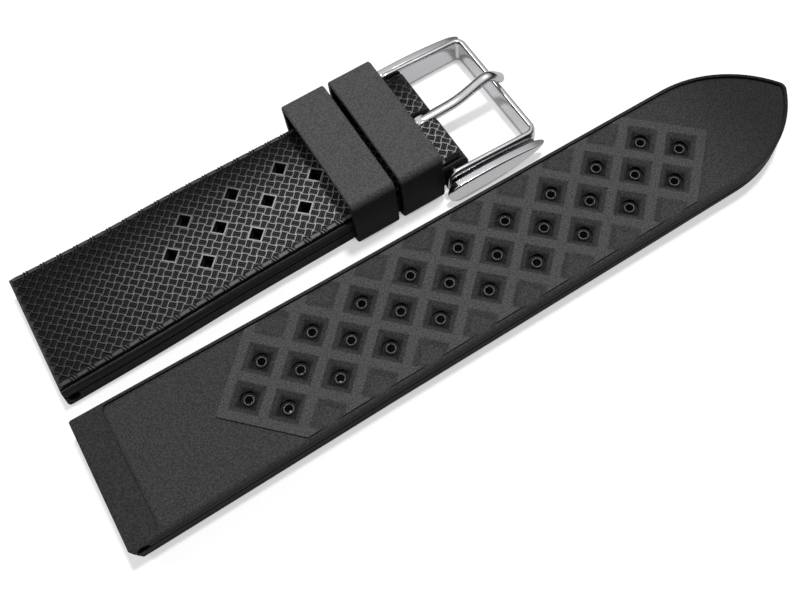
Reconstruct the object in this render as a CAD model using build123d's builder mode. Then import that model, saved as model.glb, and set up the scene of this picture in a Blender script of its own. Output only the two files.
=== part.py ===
from build123d import *
import os
from math import asin, atan2, cos, degrees, pi, sin, sqrt

# A two-piece moulded rubber dive strap, laid out as a pair on a flat surface.
# The buckle half lies outer face up, the tip half lies with its underside up.
# +X runs from the lug ends to the free ends, +Y away from the viewer, +Z up.
# The origin is at the middle of the pair's outline, on the surface they lie on.
# All lengths are in millimetres.

# Strap halves
lug_width = 22.0
waist_narrowing = 1.1
shoulder_narrowing = 1.8
buckle_end_narrowing = 1.9
strap_thickness = 5.4
tip_half_length = 122.4
waist_station = 42.0
point_length = 17.0
nose_radius = 1.5
buckle_half_length = 72.8
buckle_end_radius = 2.2
pair_gap = 4.9
corner_radius = 0.5
edge_break = 0.15
rim_edge_radius = 0.2
lug_lean = 0.8
lug_outer_radius = 0.8
lug_under_radius = 0.3
lug_tunnel_radius = 0.95
lug_tunnel_station = 1.75
lug_tunnel_depth = 1.85
# The tip half's outer face curves up, so that the thinner tail fits into the keepers
tail_thickness = 3.8
tail_start = 10.0
# A ledge runs round the outer face, and a groove marks where the mould halves met
ledge_width = 0.35
ledge_height = 0.6
parting_level = 2.3
parting_height = 0.35
parting_depth = 0.2

# Recessed underside, and the raised waffle panel in it
lug_block_length = 5.0
rim_width = 0.55
recess_depth = 0.5
recess_corner_radius = 1.0
panel_rise = 0.35
panel_gap = 0.2

# Holes, in three rows whose places alternate like the squares of a chessboard
hole_pitch = 8.62
tip_first_hole = 24.0
buckle_first_hole = 24.5
cell_wall = 1.35
cell_depth = 0.9
half_cell_slope = 1.0
well_radius = 1.3
well_depth = 0.35
eyelet_radius = 0.6
eyelet_rim_radius = 1.0
eyelet_rim_rise = 0.25
diamond_side = 1.95
diamond_depth = 2.4

# Keeper loops, whose floors pass under the strap and lift it off the surface
keeper_length = 7.6
keeper_height = 11.5
keeper_wall = 1.0
keeper_floor = 0.8
keeper_radius = 1.5
keeper_gap = 1.0
keeper_floor_play = 0.05
keeper_side_play = 0.1
keeper_edge_break = 0.15
keeper_setback = 5.5
keeper_travel = 13.5
ramp_start = 9.5
ramp_clearance = 0.6

# Spring bar at the buckle
hinge_inset = 2.8
tube_radius = 0.9
tube_bore_radius = 0.6
tube_end_play = 0.15
running_play = 0.05
plunger_radius = 0.55
plunger_shoulder_radius = 0.85
plunger_shoulder_length = 0.3
plunger_tip_radius = 0.5
plunger_travel = 1.3
plunger_edge_break = 0.15
plunger_withdrawal = 0.1
shoulder_play = 0.2
coil_radius = 0.35
coil_wire_radius = 0.1
coil_pitch = 0.65
coil_turns = 10
coil_bend_radius = 0.25

# Buckle frame
frame_side_play = 0.65
frame_length = 15.4
arm_width = 2.9
flange_height = 4.5
cheek_reach = 2.9
cheek_top_radius = 0.9
cheek_foot_radius = 2.7
boss_radius = 2.2
frame_corner_radius = 1.2
window_corner_radius = 1.0
frame_edge_radius = 0.3
rail_width = 1.0
rail_slope_width = 0.35
rail_front_rise = 0.3
rail_edge_radius = 0.3
pin_hole_depth = 1.7

# Buckle tongue
tongue_width = 1.9
tongue_thickness = 1.5
tongue_barrel_radius = 2.45
tongue_play = 0.2
tongue_notch_depth = 4.9
tongue_bend_rise = 1.85
tongue_crest_rise = 4.2
tongue_tip_rise = 1.6
tongue_overhang = 0.75
tongue_bend_radius = 2.5
tongue_edge_radius = 0.55
tongue_end_radius = 0.3
# Where the tongue bends up and where its crest is, as shares of the frame's length
bend_share = 0.45
crest_share = 0.84

# Every through cut runs this far past the piece
overrun = 1.0

# Sizes and places that follow from the ones above
half_lug = lug_width / 2
centre_distance = lug_width + pair_gap
waist_width = lug_width - waist_narrowing
shoulder_width = lug_width - shoulder_narrowing
buckle_end_width = lug_width - buckle_end_narrowing
row_spacing = hole_pitch / 2
cell_side = hole_pitch / sqrt(2) - cell_wall
panel_point = (cell_side / 2 + cell_wall) * sqrt(2)
panel_drop = recess_depth - panel_rise
buckle_taper = buckle_end_narrowing / buckle_half_length
hinge_station = buckle_half_length - hinge_inset
fixed_keeper_station = buckle_half_length - keeper_setback - keeper_length
free_keeper_station = fixed_keeper_station - keeper_gap - keeper_length
keeper_inner_height = keeper_height - keeper_wall - keeper_floor
keeper_back_station = free_keeper_station - keeper_travel
strap_in_keeper = lug_width - buckle_taper * keeper_back_station
keeper_inner_width = strap_in_keeper + 2 * keeper_side_play
keeper_outer_width = keeper_inner_width + 2 * keeper_wall
strap_lift = keeper_floor + keeper_floor_play
ramp_end = keeper_back_station - ramp_clearance
frame_inner = buckle_end_width / 2 + frame_side_play
frame_outer = frame_inner + arm_width
bar_width = rail_width + rail_slope_width
tip_hole_count = int((tip_half_length - point_length - tip_first_hole) / hole_pitch) + 1
buckle_hole_count = int((free_keeper_station - buckle_first_hole) / hole_pitch) + 1

# The pair reaches from the tip half's near edge to the buckle's far arm
pair_width = half_lug + centre_distance + frame_outer
tip_plane = Plane((-tip_half_length / 2, half_lug - pair_width / 2, 0))
buckle_plane = Plane(tip_plane.origin + Vector(0, centre_distance, 0))

# The frame lies flat on the surface
hinge_height = strap_lift + strap_thickness / 2
hinge_centre = buckle_plane.origin + Vector(hinge_station, 0, hinge_height)
frame_plane = Plane(hinge_centre)
flange_level = flange_height - hinge_height
# Seen from the near side, with its x along the strap and its y up
side_plane = Plane(hinge_centre, x_dir=(1, 0, 0), z_dir=(0, -1, 0))


def tip_outline(inset, start):
    """Plan of the tip half from the station start on, drawn inward by inset.

    Each side of the point is one arc from the shoulder, and a small arc joins the two
    at the nose. The sides' radius is the one that puts the nose at the full length.
    """
    shoulder = Vector(tip_half_length - point_length, inset - shoulder_width / 2)
    nose = nose_radius - inset
    nose_centre = Vector(tip_half_length - nose_radius, 0)
    reach, spread = nose_centre.X - shoulder.X, -shoulder.Y - nose
    side_radius = (reach**2 / spread + spread) / 2 + nose
    side_centre = shoulder + Vector(0, side_radius)
    join = nose_centre + (nose_centre - side_centre).normalized() * nose
    with BuildSketch(Plane.XY) as plan:
        with BuildLine():
            side = Polyline((start, inset - half_lug), (waist_station, inset - waist_width / 2), shoulder)
            TangentArc(side @ 1, join, tangent=(1, 0))
            CenterArc(nose_centre, nose, 0, degrees(atan2(join.Y, join.X - nose_centre.X)))
            Line((start, 0), side @ 0)
            mirror(about=Plane.XZ)
        make_face()
    return plan.sketch


def buckle_outline(inset, start, end):
    """Plan of the buckle half between two stations, drawn inward by inset."""
    near = half_lug - inset - buckle_taper * start / 2
    far = half_lug - inset - buckle_taper * end / 2
    with BuildSketch(Plane.XY) as plan:
        with BuildLine():
            Polyline((start, -near), (end, -far), (end, far), (start, near), close=True)
        make_face()
    return plan.sketch


def cell_places(first_hole, count):
    """Full cells: a row along the middle, and two rows between its places."""
    middle = [(first_hole + i * hole_pitch, 0) for i in range(count)]
    sides = [(first_hole + (i + 1 / 2) * hole_pitch, side * row_spacing)
             for i in range(count - 1) for side in (-1, 1)]
    return middle + sides


def half_cell_places(first_hole, count):
    """Cells that the long edges of the panel cut in half."""
    return [(first_hole + i * hole_pitch, side * hole_pitch)
            for i in range(1, count - 1) for side in (-1, 1)]


def square_cut(top_side, floor_side, depth):
    """A cut with four sloping faces, its diagonals along and across the strap."""
    with BuildPart() as cut:
        with BuildSketch(Plane.XY):
            Rectangle(top_side, top_side, rotation=45)
        with BuildSketch(Plane.XY.offset(-depth)):
            Rectangle(floor_side, floor_side, rotation=45)
        loft(ruled=True)
    return cut.part


def panel_plan(first_hole, count, edge):
    """Plan of the raised panel, one wall wider than its cells, cut off along the edges."""
    last_hole = first_hole + (count - 1) * hole_pitch
    with BuildSketch(Plane.XY) as plan:
        with BuildLine():
            Polyline(
                (first_hole - panel_point, 0),
                (first_hole - panel_point + half_lug, -half_lug),
                (last_hole + panel_point - half_lug, -half_lug),
                (last_hole + panel_point, 0),
            )
            mirror(about=Plane.XZ)
        make_face()
        add(edge, mode=Mode.INTERSECT)
    return plan.sketch


# A half cell goes down to the floor of the recess
half_cell = square_cut(cell_side, cell_side - 2 * half_cell_slope, panel_rise)

# One full cell: four sloping faces that run into a round well, and a raised rim round
# the eyelet in its floor. It is cut down from the panel's top
well_floor = Plane.XY.offset(-cell_depth - well_depth)
with BuildPart() as full_cell:
    add(square_cut(cell_side, well_radius * sqrt(2), cell_depth))
    with BuildSketch(well_floor):
        Circle(well_radius)
    extrude(amount=cell_depth + well_depth)
    with BuildSketch(well_floor):
        Circle(eyelet_rim_radius)
    extrude(amount=eyelet_rim_rise, mode=Mode.SUBTRACT)
    with BuildSketch(Plane.XY.offset(-cell_depth)):
        Circle(eyelet_radius)
    extrude(amount=-strap_thickness)


def lug_rounding(top_radius, foot_radius, top_lean, foot_lean):
    """Room that the lug end leaves to a half: its face leans, and its edges are round."""
    with BuildPart() as room:
        with BuildSketch(Plane.XZ) as profile:
            with BuildLine():
                Polyline((foot_lean, 0), (top_lean, strap_thickness),
                         (lug_block_length, strap_thickness), (lug_block_length, 0), close=True)
            make_face()
            fillet(profile.vertices().group_by(Axis.Y)[-1].sort_by(Axis.X)[0], top_radius)
            fillet(profile.vertices().group_by(Axis.Y)[0].sort_by(Axis.X)[0], foot_radius)
            with Locations((lug_lean + lug_outer_radius, -overrun)):
                Rectangle(tip_half_length, strap_thickness + strap_lift + 2 * overrun,
                          align=(Align.MIN, Align.MIN))
        extrude(amount=lug_width, both=True)
    return room.part


def below_tip_face(level):
    """All that lies below the tip half's outer face, once that is raised by a level."""
    tail_end = Vector(tip_half_length + overrun, level + strap_thickness - tail_thickness)
    with BuildPart() as room:
        with BuildSketch(Plane.XZ):
            with BuildLine():
                flat = Line((-overrun, level), (tail_start, level))
                TangentArc(flat @ 1, tail_end, tangent=flat % 1)
                Polyline(tail_end, (tail_end.X, -overrun), (-overrun, -overrun), flat @ 0)
            make_face()
        extrude(amount=lug_width, both=True)
    return room.part


# Tip half, underside up
with BuildPart() as tip_panel:
    with BuildSketch(Plane.XY):
        add(panel_plan(tip_first_hole, tip_hole_count, tip_outline(rim_width + panel_gap, 0)))
    extrude(amount=-panel_rise)
    with Locations(*half_cell_places(tip_first_hole, tip_hole_count)):
        add(half_cell, mode=Mode.SUBTRACT)

# The strip that the ledge takes off the tip half's sides
with BuildPart() as tip_ledge:
    with BuildSketch(Plane.XY):
        add(tip_outline(0, 0))
        add(tip_outline(ledge_width, -overrun), mode=Mode.SUBTRACT)
    extrude(amount=strap_thickness)
    add(below_tip_face(ledge_height), mode=Mode.INTERSECT)

tip_panel_top = strap_thickness - panel_drop
with BuildPart(tip_plane) as tip_half:
    with BuildSketch(tip_plane):
        add(tip_outline(0, 0))
    extrude(amount=strap_thickness)
    add(below_tip_face(0), mode=Mode.SUBTRACT)
    fillet(tip_half.edges().filter_by(Axis.Z).group_by(Axis.X)[0], corner_radius)
    fillet(tip_half.faces().sort_by(Axis.Z)[-1].edges().filter_by(Axis.Y, reverse=True), rim_edge_radius)
    add(tip_ledge.part, mode=Mode.SUBTRACT)
    with BuildSketch(tip_plane.offset(strap_thickness - parting_level)):
        add(tip_outline(0, 0))
        add(tip_outline(parting_depth, -overrun), mode=Mode.SUBTRACT)
    extrude(amount=-parting_height, mode=Mode.SUBTRACT)
    add(lug_rounding(lug_under_radius, lug_outer_radius, 0, lug_lean), mode=Mode.INTERSECT)
    with BuildSketch(tip_plane.offset(strap_thickness)) as tip_recess:
        add(tip_outline(rim_width, lug_block_length))
        fillet(tip_recess.vertices().group_by(Axis.X)[0], recess_corner_radius)
    extrude(amount=-recess_depth, mode=Mode.SUBTRACT)
    with Locations((0, 0, tip_panel_top)):
        add(tip_panel.part)
    with Locations(*[(x, y, tip_panel_top) for x, y in cell_places(tip_first_hole, tip_hole_count)]):
        add(full_cell.part, mode=Mode.SUBTRACT)
    with BuildSketch(tip_plane):
        with Locations(*cell_places(tip_first_hole, tip_hole_count)):
            Rectangle(diamond_side, diamond_side, rotation=45)
    extrude(amount=diamond_depth, mode=Mode.SUBTRACT)
    with Locations((lug_tunnel_station, 0, strap_thickness - lug_tunnel_depth)):
        Cylinder(lug_tunnel_radius, lug_width + overrun, rotation=(90, 0, 0), mode=Mode.SUBTRACT)


def lift_at(station):
    """How far the buckle half is lifted at a station: a smooth ramp up to the keepers."""
    along = (station - ramp_start) / (ramp_end - ramp_start)
    along = min(max(along, 0), 1)
    eased = 2 * along**2 if along < 1 / 2 else 1 - 2 * (1 - along)**2
    return strap_lift * eased


def buckle_layer(low, high):
    """A slab between two heights in the buckle half, bent to follow its lift."""
    ramp_middle = (ramp_start + ramp_end) / 2
    with BuildPart() as slab:
        with BuildSketch(Plane.XZ):
            with BuildLine():
                ends = []
                for level in (low, high):
                    flat = Line((-overrun, level), (ramp_start, level))
                    first = TangentArc(flat @ 1, (ramp_middle, level + strap_lift / 2), tangent=flat % 1)
                    second = TangentArc(first @ 1, (ramp_end, level + strap_lift), tangent=first % 1)
                    top = Line(second @ 1, (buckle_half_length + overrun, level + strap_lift))
                    ends.append((flat @ 0, top @ 1))
                Line(ends[0][0], ends[1][0])
                Line(ends[0][1], ends[1][1])
            make_face()
        extrude(amount=lug_width, both=True)
    return slab.part


def buckle_cut(plan, low, high):
    """A plan shape carried between two heights in the buckle half."""
    with BuildPart() as cut:
        with BuildSketch(Plane.XY):
            add(plan)
        extrude(amount=strap_thickness + strap_lift)
        add(buckle_layer(low, high), mode=Mode.INTERSECT)
    return cut.part


# Plan of the recess under the buckle half
with BuildSketch(Plane.XY) as buckle_recess:
    add(buckle_outline(rim_width, lug_block_length, fixed_keeper_station))
    fillet(buckle_recess.vertices(), recess_corner_radius)

# The panel under the buckle half, with its cells opening downwards
with BuildPart() as buckle_panel:
    panel_edge = buckle_outline(rim_width + panel_gap, 0, buckle_half_length)
    add(buckle_cut(panel_plan(buckle_first_hole, buckle_hole_count, panel_edge), panel_drop, recess_depth))
    with Locations(*[Location((x, y, lift_at(x) + panel_drop), (180, 0, 0))
                     for x, y in half_cell_places(buckle_first_hole, buckle_hole_count)]):
        add(half_cell, mode=Mode.SUBTRACT)

# The notch in the buckle half's end, in which the tongue turns
notch_width = tongue_width + 2 * tongue_play


def buckle_side_strip(depth, low, high):
    """A strip between two heights that runs into both sides of the buckle half."""
    with BuildSketch(Plane.XY) as plan:
        add(buckle_outline(0, 0, buckle_half_length))
        add(buckle_outline(depth, -overrun, buckle_half_length + overrun), mode=Mode.SUBTRACT)
    return buckle_cut(plan.sketch, low, high)


# Buckle half, outer face up
with BuildPart(buckle_plane) as buckle_half:
    add(buckle_cut(buckle_outline(0, 0, buckle_half_length), 0, strap_thickness))
    fillet(buckle_half.edges().filter_by(Axis.Z).group_by(Axis.X)[0], corner_radius)
    fillet(buckle_half.edges().filter_by(Axis.Y).group_by(Axis.X)[-1], buckle_end_radius)
    add(buckle_side_strip(ledge_width, strap_thickness - ledge_height, strap_thickness + overrun),
        mode=Mode.SUBTRACT)
    outer_faces = buckle_half.faces().filter_by(lambda face: face.normal_at().Z > cos(pi / 8))
    top_faces = outer_faces.filter_by(lambda face: face.area > strap_thickness**2)
    chamfer(top_faces.edges().filter_by(Axis.Y, reverse=True), edge_break)
    add(buckle_side_strip(parting_depth, parting_level, parting_level + parting_height), mode=Mode.SUBTRACT)
    add(lug_rounding(lug_outer_radius, lug_under_radius, lug_lean, 0), mode=Mode.INTERSECT)
    add(buckle_cut(buckle_recess.sketch, -overrun, recess_depth), mode=Mode.SUBTRACT)
    add(buckle_panel.part)
    with Locations(*[Location((x, y, lift_at(x) + panel_drop), (180, 0, 0))
                     for x, y in cell_places(buckle_first_hole, buckle_hole_count)]):
        add(full_cell.part, mode=Mode.SUBTRACT)
    with BuildSketch(Plane.XY) as diamonds:
        with Locations(*cell_places(buckle_first_hole, buckle_hole_count)):
            Rectangle(diamond_side, diamond_side, rotation=45)
    add(buckle_cut(diamonds.sketch, strap_thickness - diamond_depth, strap_thickness + overrun),
        mode=Mode.SUBTRACT)
    with Locations((lug_tunnel_station, 0, lug_tunnel_depth)):
        Cylinder(lug_tunnel_radius, lug_width + overrun, rotation=(90, 0, 0), mode=Mode.SUBTRACT)
    with Locations((hinge_station, 0, hinge_height)):
        Cylinder(tube_radius + running_play, lug_width, rotation=(90, 0, 0), mode=Mode.SUBTRACT)
        Cylinder(tongue_barrel_radius + tongue_play, notch_width, rotation=(90, 0, 0), mode=Mode.SUBTRACT)
    with Locations((buckle_half_length - tongue_notch_depth, 0, hinge_height)):
        Box(tongue_notch_depth + overrun, notch_width, strap_thickness + overrun,
            align=(Align.MIN, Align.CENTER, Align.CENTER), mode=Mode.SUBTRACT)


def keeper(station):
    """A loop round the strap: its floor passes under the strap, its top stands above it."""
    section_plane = Plane(buckle_plane.origin + Vector(station, 0, 0), x_dir=(0, 1, 0), z_dir=(1, 0, 0))
    with BuildPart() as loop:
        with BuildSketch(section_plane) as section:
            Rectangle(keeper_outer_width, keeper_height, align=(Align.CENTER, Align.MIN))
            fillet(section.vertices(), keeper_radius)
            with Locations((0, keeper_floor)):
                Rectangle(keeper_inner_width, keeper_inner_height,
                          align=(Align.CENTER, Align.MIN), mode=Mode.SUBTRACT)
        extrude(amount=keeper_length)
        chamfer(loop.faces().filter_by(Axis.X).edges(), keeper_edge_break)
    return loop.part


# Spring bar: a tube, two sprung plungers and the coil that pushes them apart. When
# it is pushed in, a plunger ends just inside the arm's face and frees the buckle
bar_plane = Plane(hinge_centre, x_dir=(1, 0, 0), z_dir=(0, 1, 0))
plunger_reach = frame_inner + plunger_travel - plunger_withdrawal
shoulder_end = frame_inner - shoulder_play
shoulder_start = shoulder_end - plunger_shoulder_length
tube_length = 2 * (shoulder_start - plunger_travel - tube_end_play)
coil_half_length = coil_turns * coil_pitch / 2 + coil_bend_radius + 2 * coil_wire_radius
with BuildPart(bar_plane) as spring_bar_tube:
    Cylinder(tube_radius, tube_length)
    Cylinder(tube_bore_radius, tube_length, mode=Mode.SUBTRACT)


def plunger(side):
    """One plunger: a shank in the tube, a shoulder, and the tip that enters the arm."""
    outward = Plane(hinge_centre, x_dir=(1, 0, 0), z_dir=(0, side, 0))
    with BuildPart() as body:
        for start, end, radius in ((coil_half_length, shoulder_start, plunger_radius),
                                   (shoulder_start, shoulder_end, plunger_shoulder_radius),
                                   (shoulder_end, plunger_reach, plunger_tip_radius)):
            with BuildSketch(outward.offset(start)):
                Circle(radius)
            extrude(amount=end - start)
        chamfer(body.edges().sort_by(Axis(outward.origin, outward.z_dir))[-1], plunger_edge_break)
    return body.part


def coil_point(turn):
    """Place and direction on the coil's helix after a number of turns from one end."""
    angle = 2 * pi * turn
    along = coil_pitch * (turn - coil_turns / 2)
    place = Vector(coil_radius * cos(angle), coil_radius * sin(angle), along)
    heading = Vector(-coil_radius * sin(angle), coil_radius * cos(angle), coil_pitch / (2 * pi))
    return place, heading.normalized()


def joined_arcs(first, last):
    """Two arcs that leave one place and reach the next in the given directions."""
    (start, leave), (end, arrive) = first, last
    across, both = end - start, leave + arrive
    spread = 2 * (1 - leave.dot(arrive))
    reach = (sqrt(across.dot(both)**2 + spread * across.dot(across)) - across.dot(both)) / spread
    before, after = start + leave * reach, end - arrive * reach
    middle = (before + after) / 2
    TangentArc(start, middle, tangent=leave)
    TangentArc(middle, end, tangent=after - before)


# The coil: quarter turns of a helix, and at each end a bend into a short straight
# run along the bar, square to the plunger that it pushes
bar_direction = Vector(0, 0, 1)
coil_steps = [coil_point(i / 4) for i in range(4 * coil_turns + 1)]
(coil_start, start_heading), (coil_end, end_heading) = coil_steps[0], coil_steps[-1]
bend_start = coil_start - (start_heading + bar_direction) * coil_bend_radius
bend_end = coil_end + (end_heading + bar_direction) * coil_bend_radius
coil_steps = [(bend_start, bar_direction)] + coil_steps + [(bend_end, bar_direction)]
with BuildPart() as upright_coil:
    with BuildLine() as coil_path:
        Line(Vector(bend_start.X, bend_start.Y, -coil_half_length), bend_start)
        for before, after in zip(coil_steps[:-1], coil_steps[1:]):
            joined_arcs(before, after)
        Line(bend_end, Vector(bend_end.X, bend_end.Y, coil_half_length))
    coil_wire = coil_path.wires()[0]
    with BuildSketch(Plane(coil_wire @ 0, z_dir=coil_wire % 0)):
        Circle(coil_wire_radius)
    sweep(path=coil_wire)
with BuildPart(bar_plane) as spring_bar_coil:
    add(upright_coil.part)

coil_places = [coil_wire @ (i / 600) for i in range(601)]
half_turn = int(600 / coil_turns / 2)
coil_gap = min((p - q).length for i, p in enumerate(coil_places) for q in coil_places[i + half_turn:])
print("Least gap of the coil to itself, in mm:", round(coil_gap - 2 * coil_wire_radius, 3))


def window_plan(margin, rear):
    """Plan of the buckle's window from rear on, drawn outward by margin and open there."""
    with BuildSketch(Plane.XY) as plan:
        with Locations((rear, 0)):
            Rectangle(frame_length - bar_width + margin - rear, 2 * (frame_inner + margin),
                      align=(Align.MIN, Align.CENTER))
        fillet(plan.vertices().group_by(Axis.X)[-1], window_corner_radius + margin)
    return plan.sketch


# The rail round the window. Its top falls from the bosses round the spring bar to
# the front bar, and its outer side slopes down to the flange
rail_slope = atan2(boss_radius - flange_level - rail_front_rise, frame_length)
rail_plane = Plane.XY.rotated((0, degrees(rail_slope), 0)).offset(boss_radius)
with BuildPart() as frame_rail:
    with BuildSketch(Plane.XY.offset(flange_level)):
        add(window_plan(rail_width + rail_slope_width, 0))
    with BuildSketch(rail_plane):
        add(window_plan(rail_width, 0))
    loft(ruled=True)
    fillet(frame_rail.faces().sort_by(Axis.Z)[-1].edges().sort_by(Axis.X)[1:], rail_edge_radius)
    Cylinder(boss_radius, 2 * (frame_inner + rail_width), rotation=(90, 0, 0))
    for side in (-1, 1):
        with Locations((0, side * (frame_inner + rail_width), 0)):
            Cone(boss_radius, flange_level, rail_slope_width, rotation=(-side * 90, 0, 0),
                 align=(Align.CENTER, Align.CENTER, Align.MIN))

# Buckle frame: a U whose two arms carry the spring bar. A cheek outside each arm
# reaches on behind the bar, past the keeper
with BuildPart(frame_plane) as buckle_frame:
    with BuildSketch(side_plane) as frame_profile:
        with Locations((-cheek_reach, -hinge_height)):
            Rectangle(cheek_reach + frame_length, flange_height, align=(Align.MIN, Align.MIN))
        cheek_foot, cheek_top = frame_profile.vertices().group_by(Axis.X)[0].sort_by(Axis.Y)
        fillet(cheek_foot, cheek_foot_radius)
        fillet(frame_profile.vertices().sort_by(Axis.X)[:2].sort_by(Axis.Y)[-1], cheek_top_radius)
    extrude(amount=frame_outer, both=True)
    fillet(buckle_frame.edges().filter_by(Axis.Z).group_by(Axis.X)[-1], frame_corner_radius)
    fillet(buckle_frame.edges(), frame_edge_radius)
    with BuildSketch(frame_plane):
        Rectangle(cheek_reach + overrun, 2 * (frame_inner + rail_width + rail_slope_width),
                  align=(Align.MAX, Align.CENTER))
    extrude(amount=frame_length, both=True, mode=Mode.SUBTRACT)
    add(frame_rail.part)
    with BuildSketch(frame_plane):
        add(window_plan(0, -cheek_reach - overrun))
    extrude(amount=frame_length, both=True, mode=Mode.SUBTRACT)
    Cylinder(plunger_tip_radius + running_play, 2 * (frame_inner + pin_hole_depth),
             rotation=(90, 0, 0), mode=Mode.SUBTRACT)


# Buckle tongue: a barrel on the spring bar, and a bent rod that hooks over the front
# bar. Its middle line is drawn as seen from the near side, from the hinge on
tongue_back = (0, tongue_barrel_radius - tongue_thickness / 2)
tongue_bend = (frame_length * bend_share, tongue_bend_rise)
tongue_crest = (frame_length * crest_share, tongue_crest_rise)
tongue_tip = (frame_length + tongue_overhang, tongue_tip_rise)
with BuildPart() as tongue_arm:
    with BuildLine(side_plane) as tongue_line:
        FilletPolyline(tongue_back, tongue_bend, tongue_crest, tongue_tip, radius=tongue_bend_radius)
    tongue_wire = tongue_line.wires()[0]
    with BuildSketch(Plane(tongue_wire @ 0, x_dir=(0, 1, 0), z_dir=tongue_wire % 0)):
        RectangleRounded(tongue_width, tongue_thickness, tongue_edge_radius)
    sweep(path=tongue_wire)
    fillet(tongue_arm.faces().sort_by(Axis.X)[-1].edges(), tongue_end_radius)
with BuildPart() as buckle_tongue:
    with BuildSketch(side_plane):
        Circle(tongue_barrel_radius)
    extrude(amount=tongue_width / 2, both=True)
    fillet(buckle_tongue.edges(), tongue_edge_radius)
    add(tongue_arm.part)
    with BuildSketch(side_plane):
        Circle(tube_radius + running_play)
    extrude(amount=tongue_width, both=True, mode=Mode.SUBTRACT)

pieces = {
    "buckle_half": buckle_half.part,
    "tip_half": tip_half.part,
    "keeper_free": keeper(free_keeper_station),
    "keeper_buckle_side": keeper(fixed_keeper_station),
    "buckle_frame": buckle_frame.part,
    "buckle_tongue": buckle_tongue.part,
    "spring_bar_tube": spring_bar_tube.part,
    "spring_bar_plunger_near": plunger(-1),
    "spring_bar_plunger_far": plunger(1),
    "spring_bar_coil": spring_bar_coil.part,
}
os.makedirs("parts", exist_ok=True)
for name, piece in pieces.items():
    piece.label = name
    export_step(piece, f"parts/{name}.step")
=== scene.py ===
# %% [markdown]
# # A rubber dive strap, dressed for its picture
# The strap is a pair of moulded rubber halves. One lies with its woven outer face up and
# carries two keeper loops and a steel pin buckle. The other shows its waffle underside.
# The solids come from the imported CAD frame. This lesson adds what makes them look real:
# the woven relief and its stitches, the rubber and steel finishes, the light and the camera.

import bmesh
import bpy
import numpy as np
from mathutils import Matrix, Vector


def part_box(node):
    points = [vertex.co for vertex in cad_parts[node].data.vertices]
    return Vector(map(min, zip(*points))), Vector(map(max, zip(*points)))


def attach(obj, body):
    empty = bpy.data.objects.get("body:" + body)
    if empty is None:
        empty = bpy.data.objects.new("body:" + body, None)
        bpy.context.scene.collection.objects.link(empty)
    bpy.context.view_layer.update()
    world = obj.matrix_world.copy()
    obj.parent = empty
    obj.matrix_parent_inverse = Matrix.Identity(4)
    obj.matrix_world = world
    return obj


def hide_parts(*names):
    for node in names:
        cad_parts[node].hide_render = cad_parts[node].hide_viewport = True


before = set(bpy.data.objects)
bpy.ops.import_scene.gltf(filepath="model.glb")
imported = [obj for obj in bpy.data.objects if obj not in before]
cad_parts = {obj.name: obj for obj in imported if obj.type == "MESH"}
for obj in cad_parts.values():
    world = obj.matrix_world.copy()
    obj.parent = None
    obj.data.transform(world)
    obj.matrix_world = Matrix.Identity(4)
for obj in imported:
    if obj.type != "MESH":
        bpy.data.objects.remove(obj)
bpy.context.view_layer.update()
MM = 0.001
print("CAD nodes:", sorted(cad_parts))

# %% [markdown]
# ## Sizes that the added pieces share with the solids
# The relief has to lie exactly on the two outer faces, so the same few numbers that shape
# them in the CAD are written here again, in millimetres, as functions of the distance
# from the lug end, called the station. Working with whole arrays keeps them fast and short.

# %% The two halves' outlines and outer faces
lug_half_width, waist_half_width, shoulder_half_width = 11.0, 10.45, 10.1
buckle_end_half_width = 10.05
waist_station, point_length, nose_share = 42.0, 17.0, 1 / 3
tail_thickness, tail_start, tail_overrun = 3.8, 10.0, 1.0
ramp_start, ramp_end = 9.5, 37.0
buckle_first_hole, buckle_hole_count = 24.5, 4
tip_first_hole, tip_hole_count = 24.0, 10
buckle_box = np.array(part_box("buckle_half")) / MM
tip_box = np.array(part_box("tip_half")) / MM
buckle_length, tip_length = 72.8, 122.4
buckle_start, tip_start = buckle_box[1, 0] - buckle_length, tip_box[1, 0] - tip_length
buckle_middle, tip_middle = buckle_box[:, 1].mean(), tip_box[:, 1].mean()
strap_thickness = tip_box[1, 2] - tip_box[0, 2]
strap_lift = buckle_box[1, 2] - strap_thickness
point_start, nose_radius = tip_length - point_length, 1.5
lug_lean, lug_outer_radius = 0.8, 0.8
lug_edge = lug_lean + lug_outer_radius
buckle_end_radius = 2.2
notch_depth, notch_half_width = 4.9, 1.15


def buckle_half_width(station):
    """Half the buckle half's width: a straight taper from the lug end to the buckle."""
    return lug_half_width - (lug_half_width - buckle_end_half_width) * station / buckle_length


def tip_half_width(station):
    """Half the tip half's width: two straight tapers, then one arc from the shoulder to
    the nose, whose radius makes it meet the small nose arc, which comes last."""
    straight = np.interp(station, [0, waist_station, point_start],
                         [lug_half_width, waist_half_width, shoulder_half_width])
    reach, across = tip_length - nose_radius - point_start, shoulder_half_width - nose_radius
    radius = (reach**2 / across + across) / 2 + nose_radius
    drop = np.clip(station - point_start, 0, tip_length - point_start)
    side = shoulder_half_width - radius + np.sqrt(radius**2 - drop**2)
    nose = np.sqrt(np.clip(nose_radius**2 - (station - tip_length + nose_radius) ** 2, 0, None))
    arc = np.where(station < tip_length - nose_share * nose_radius, side, np.minimum(side, nose))
    return np.where(station < point_start, straight, np.maximum(arc, 0))


def lug_drop(station):
    """How far the outer face falls at the lug end: a quarter circle over the edge."""
    beyond = np.clip(lug_edge - station, 0, lug_outer_radius)
    return lug_outer_radius - np.sqrt(lug_outer_radius**2 - beyond**2)


def end_drop(station):
    """How far the buckle half's outer face falls at its rounded end."""
    beyond = np.clip(station - buckle_length + buckle_end_radius, 0, buckle_end_radius)
    return buckle_end_radius - np.sqrt(buckle_end_radius**2 - beyond**2)


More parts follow.
